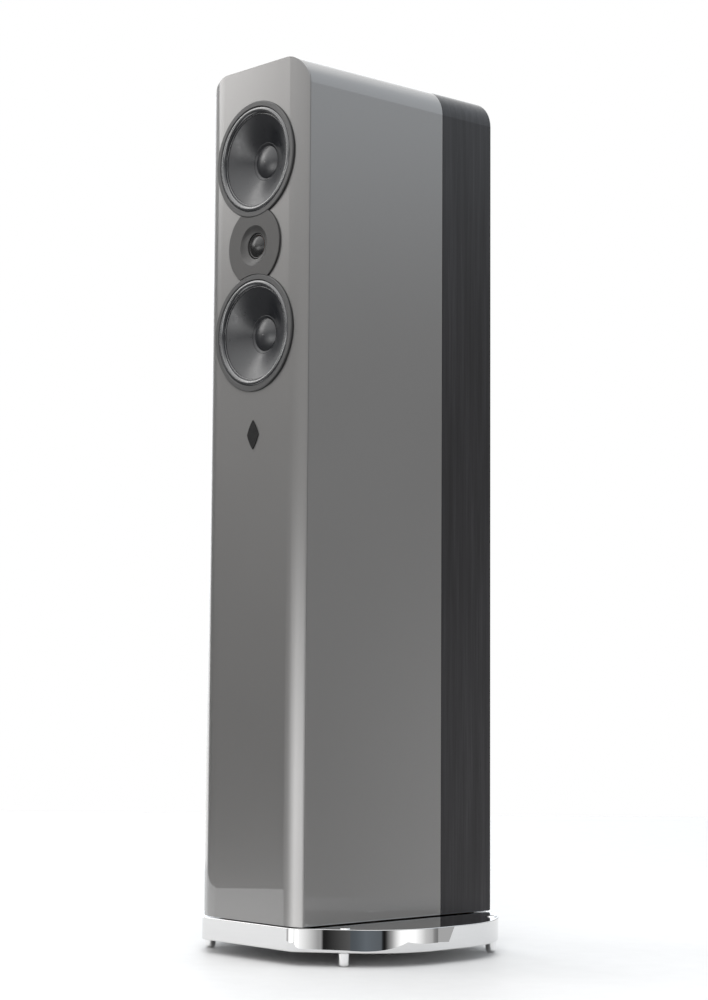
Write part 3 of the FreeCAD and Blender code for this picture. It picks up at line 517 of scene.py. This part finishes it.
# Brightness round the studio at each height: degrees from the front towards -X, brightness, blue share.
FLOOR_LEVEL = [
    (-180, 0.30, 0.0),
    (-138, 0.50, 0.0),
    (-134.6, 0.50, 0.0),
    (-132.6, 0.25, 0.0),
    (-130, 0.25, 0.0),
    (-127, 0.55, 0.0),
    (-118, 0.72, 0.0),
    (-112, 1.05, 0.0),
    (-103, 1.50, 0.0),
    (-89, 1.50, 0.0),
    (-84, 1.10, 0.0),
    (-78, 0.45, 0.0),
    (-71, 0.02, 0.0),
    (-68, 0.01, 0.0),
    (-66, 0.15, 0.10),
    (-50, 0.18, 0.12),
    (-34.8, 0.10, 0.12),
    (-33.4, 1.60, 0.0),
    (-31.8, 1.90, 0.0),
    (-12, 1.60, 0.0),
    (-3, 0.80, 0.0),
    (3, 2.90, 0.0),
    (18, 3.40, 0.0),
    (32, 1.00, 0.0),
    (44, 0.16, 0.0),
    (69, 0.16, 0.0),
    (72, 0.0, 0.0),
    (83, 0.0, 0.0),
    (86, 1.80, 0.0),
    (125, 1.80, 0.0),
    (150, 0.60, 0.0),
    (180, 0.30, 0.0),
]
EYE_LEVEL = [
    (-180, 0.28, 0.0),
    (-133, 0.28, 0.0),
    (-60, 0.05, 0.0),
    (0, 0.30, 0.0),
    (20, 0.14, 0.0),
    (44, 0.26, 0.0),
    (69, 0.26, 0.0),
    (72, 0.0, 0.0),
    (83, 0.0, 0.0),
    (86, 2.40, 0.0),
    (100, 3.00, 0.05),
    (125, 2.00, 0.05),
    (150, 0.40, 0.0),
    (180, 0.28, 0.0),
]
ABOVE = [
    (-180, 0.90, 0.06),
    (-133, 1.02, 0.07),
    (-105, 0.60, 0.06),
    (-80, 0.40, 0.03),
    (-30, 0.65, 0.0),
    (10, 1.25, 0.0),
    (36, 1.40, 0.0),
    (47, 0.95, 0.0),
    (48.7, 0.90, -0.012),
    (50.1, 3.20, -0.012),
    (62, 3.30, -0.012),
    (69, 3.50, 0.0),
    (72, 0.50, 0.0),
    (82, 0.50, 0.0),
    (85, 2.20, 0.0),
    (100, 2.60, 0.04),
    (125, 1.70, 0.04),
    (150, 1.10, 0.0),
    (180, 0.90, 0.06),
]
UNDERFOOT = [(-180, 0.15, 0.0), (180, 0.15, 0.0)]
OVERHEAD = [(-180, 1.80, 0.0), (180, 1.80, 0.0)]
# Each band takes over from the one before between these elevations, in degrees.
BANDS = [
    (None, UNDERFOOT),
    ((-14, -9), FLOOR_LEVEL),
    ((-3, 6), EYE_LEVEL),
    ((8, 19), ABOVE),
    ((42, 62), OVERHEAD),
]
# Cards with crisp edges: the azimuths over which each fades in and out, and its brightness.
CARDS = [
    ((-31.6, -32.4), (-33, -34.5), 0.42),
    ((-32.47, -32.53), (-34, -36), 0.02),
    ((-32.6, -33.3), (-35, -37), 0.13),
]
# The sheets of paper underfoot: shade, whether the camera and the gloss see them, and the corners, given
# along the camera's level and away from it, in metres. The floor proper shows in the lacquer and the
# chrome. The apron only carries it on to the sides. The side sheet only shows in the lacquer.
PAPER = 0.67
FLOOR_EDGE = [(-1.08, -0.18), (-0.34, -0.18), (-0.26, -0.36), (0.27, -0.36), (0.36, -0.155), (0.62, -0.155)]
SHEETS = {
    "floor": (PAPER, True, True, FLOOR_EDGE + [(0.62, 1.10), (-1.08, 1.10)]),
    "apron_near": (PAPER, True, False, [(-3, -0.18), (-3, -3), (3, -3), (3, -0.155)] + FLOOR_EDGE[::-1]),
    "apron_left": (PAPER, True, False, [(-3, 1.10), (-3, -0.18), (-1.08, -0.18), (-1.08, 1.10)]),
    "apron_right": (PAPER, True, False, [(0.62, 1.10), (0.62, -0.155), (3, -0.155), (3, 1.10)]),
    "apron_far": (PAPER, True, False, [(-3, 3), (-3, 1.10), (3, 1.10), (3, 3)]),
    "side_sheet": (0.36, False, True, [(0.62, -0.36), (0.82, -0.36), (0.82, 0.50), (0.62, 0.50)]),
}


def make_floor():
    level = Vector((math.cos(YAW), math.sin(YAW), 0))
    away = Vector((-math.sin(YAW), math.cos(YAW), 0))
    for name, (shade, seen, reflected, outline) in SHEETS.items():
        corners = [level * across + away * along for across, along in outline]
        mesh = bpy.data.meshes.new(name)
        mesh.from_pydata(corners, [], [tuple(range(len(corners)))])
        sheet = bpy.data.objects.new(name, mesh)
        scene.collection.objects.link(sheet)
        paint = Paint(f"{name}_paper")
        paint.set(Roughness=0.55)
        paint.color(paint.ramp(paint.noise(30, 3), [(0.3, grey(shade - 0.01)), (0.7, grey(shade + 0.01))]))
        sheet.data.materials.append(paint.material)
        sheet.visible_camera = seen
        sheet.visible_glossy = reflected
        sheet.visible_diffuse = reflected


def area_light(name, at, to, size, power):
    data = bpy.data.lights.new(name, "AREA")
    data.shape = "RECTANGLE"
    data.size, data.size_y = size
    data.energy = power
    light = bpy.data.objects.new(name, data)
    scene.collection.objects.link(light)
    light.location = at
    light.rotation_euler = (Vector(to) - Vector(at)).to_track_quat("-Z", "Y").to_euler()
    light.visible_glossy = False


def azimuth_stops(levels):
    """Ramp stops from rows of a table of brightness."""
    return [((angle + 180) / 360, (level * (1 - blue), level, level * (1 + blue)))
            for angle, level, blue in levels]


def make_world():
    """A studio seen only in reflections and shade; the camera itself sees plain white."""
    world = bpy.data.worlds.new("studio")
    scene.world = world
    world.use_nodes = True
    tree = world.node_tree
    add = tree.nodes.new
    join = tree.links.new
    direction = add("ShaderNodeTexCoord").outputs["Generated"]
    split = add("ShaderNodeSeparateXYZ")
    join(direction, split.inputs[0])
    mirrored = []
    for axis in ("X", "Y"):
        flip = add("ShaderNodeMath")
        flip.operation = "MULTIPLY"
        flip.inputs[1].default_value = -1
        join(split.outputs[axis], flip.inputs[0])
        mirrored.append(flip.outputs[0])
    angle = add("ShaderNodeMath")
    angle.operation = "ARCTAN2"
    join(mirrored[0], angle.inputs[0])
    join(mirrored[1], angle.inputs[1])
    turn = add("ShaderNodeMapRange")
    turn.inputs["From Min"].default_value = -math.pi
    turn.inputs["From Max"].default_value = math.pi
    join(angle.outputs[0], turn.inputs["Value"])
    shade = None
    for heights, levels in BANDS:
        ramp = add("ShaderNodeValToRGB")
        stops = azimuth_stops(levels)
        while len(ramp.color_ramp.elements) < len(stops):
            ramp.color_ramp.elements.new(0.5)
        for element, (position, color) in zip(ramp.color_ramp.elements, stops):
            element.position = position
            element.color = (*color, 1)
        join(turn.outputs["Result"], ramp.inputs["Fac"])
        band = ramp.outputs["Color"]
        if shade is None:
            shade = band
            continue
        rise = add("ShaderNodeMapRange")
        rise.interpolation_type = "SMOOTHSTEP"
        for socket, height in zip(("From Min", "From Max"), heights):
            rise.inputs[socket].default_value = math.sin(math.radians(height))
        join(split.outputs["Z"], rise.inputs["Value"])
        mix = add("ShaderNodeMixRGB")
        join(rise.outputs["Result"], mix.inputs["Fac"])
        join(shade, mix.inputs["Color1"])
        join(band, mix.inputs["Color2"])
        shade = mix.outputs["Color"]
    for near_edge, far_edge, level in CARDS:
        edges = []
        for start, end in (near_edge, reversed(far_edge)):
            edge = add("ShaderNodeMapRange")
            edge.inputs["From Min"].default_value = (start + 180) / 360
            edge.inputs["From Max"].default_value = (end + 180) / 360
            join(turn.outputs["Result"], edge.inputs["Value"])
            edges.append(edge.outputs["Result"])
        both = add("ShaderNodeMath")
        both.operation = "MULTIPLY"
        join(edges[0], both.inputs[0])
        join(edges[1], both.inputs[1])
        card = add("ShaderNodeMixRGB")
        card.inputs["Color2"].default_value = (*grey(level), 1)
        join(both.outputs[0], card.inputs["Fac"])
        join(shade, card.inputs["Color1"])
        shade = card.outputs["Color"]
    studio = tree.nodes["Background"]
    join(shade, studio.inputs["Color"])
    white = add("ShaderNodeBackground")
    white.inputs["Color"].default_value = (1, 1, 1, 1)
    path = add("ShaderNodeLightPath")
    choose = add("ShaderNodeMixShader")
    join(path.outputs["Is Camera Ray"], choose.inputs["Fac"])
    join(studio.outputs["Background"], choose.inputs[1])
    join(white.outputs["Background"], choose.inputs[2])
    join(choose.outputs["Shader"], tree.nodes["World Output"].inputs["Surface"])


def make_lights():
    area_light("low_right", (2.4, 0.9, 0.45), (0.05, 0.0, 0.02), (0.5, 0.25), 12)
    area_light("camera_side", (1.7, -1.9, 2.4), (0.1, -0.1, 0), (1.6, 1.6), 35)


def set_look():
    scene.view_settings.view_transform = "Standard"
    scene.cycles.use_denoising = True


make_camera()
make_floor()
make_world()
make_lights()
set_look()
finishes = make_materials()
dress(finishes)
make_rolls(finishes)
make_spiders(finishes)
make_tweeter_roll(finishes)
make_beads(finishes)
make_shade_rings(finishes)
make_screws(finishes)
make_knob_rings(finishes)
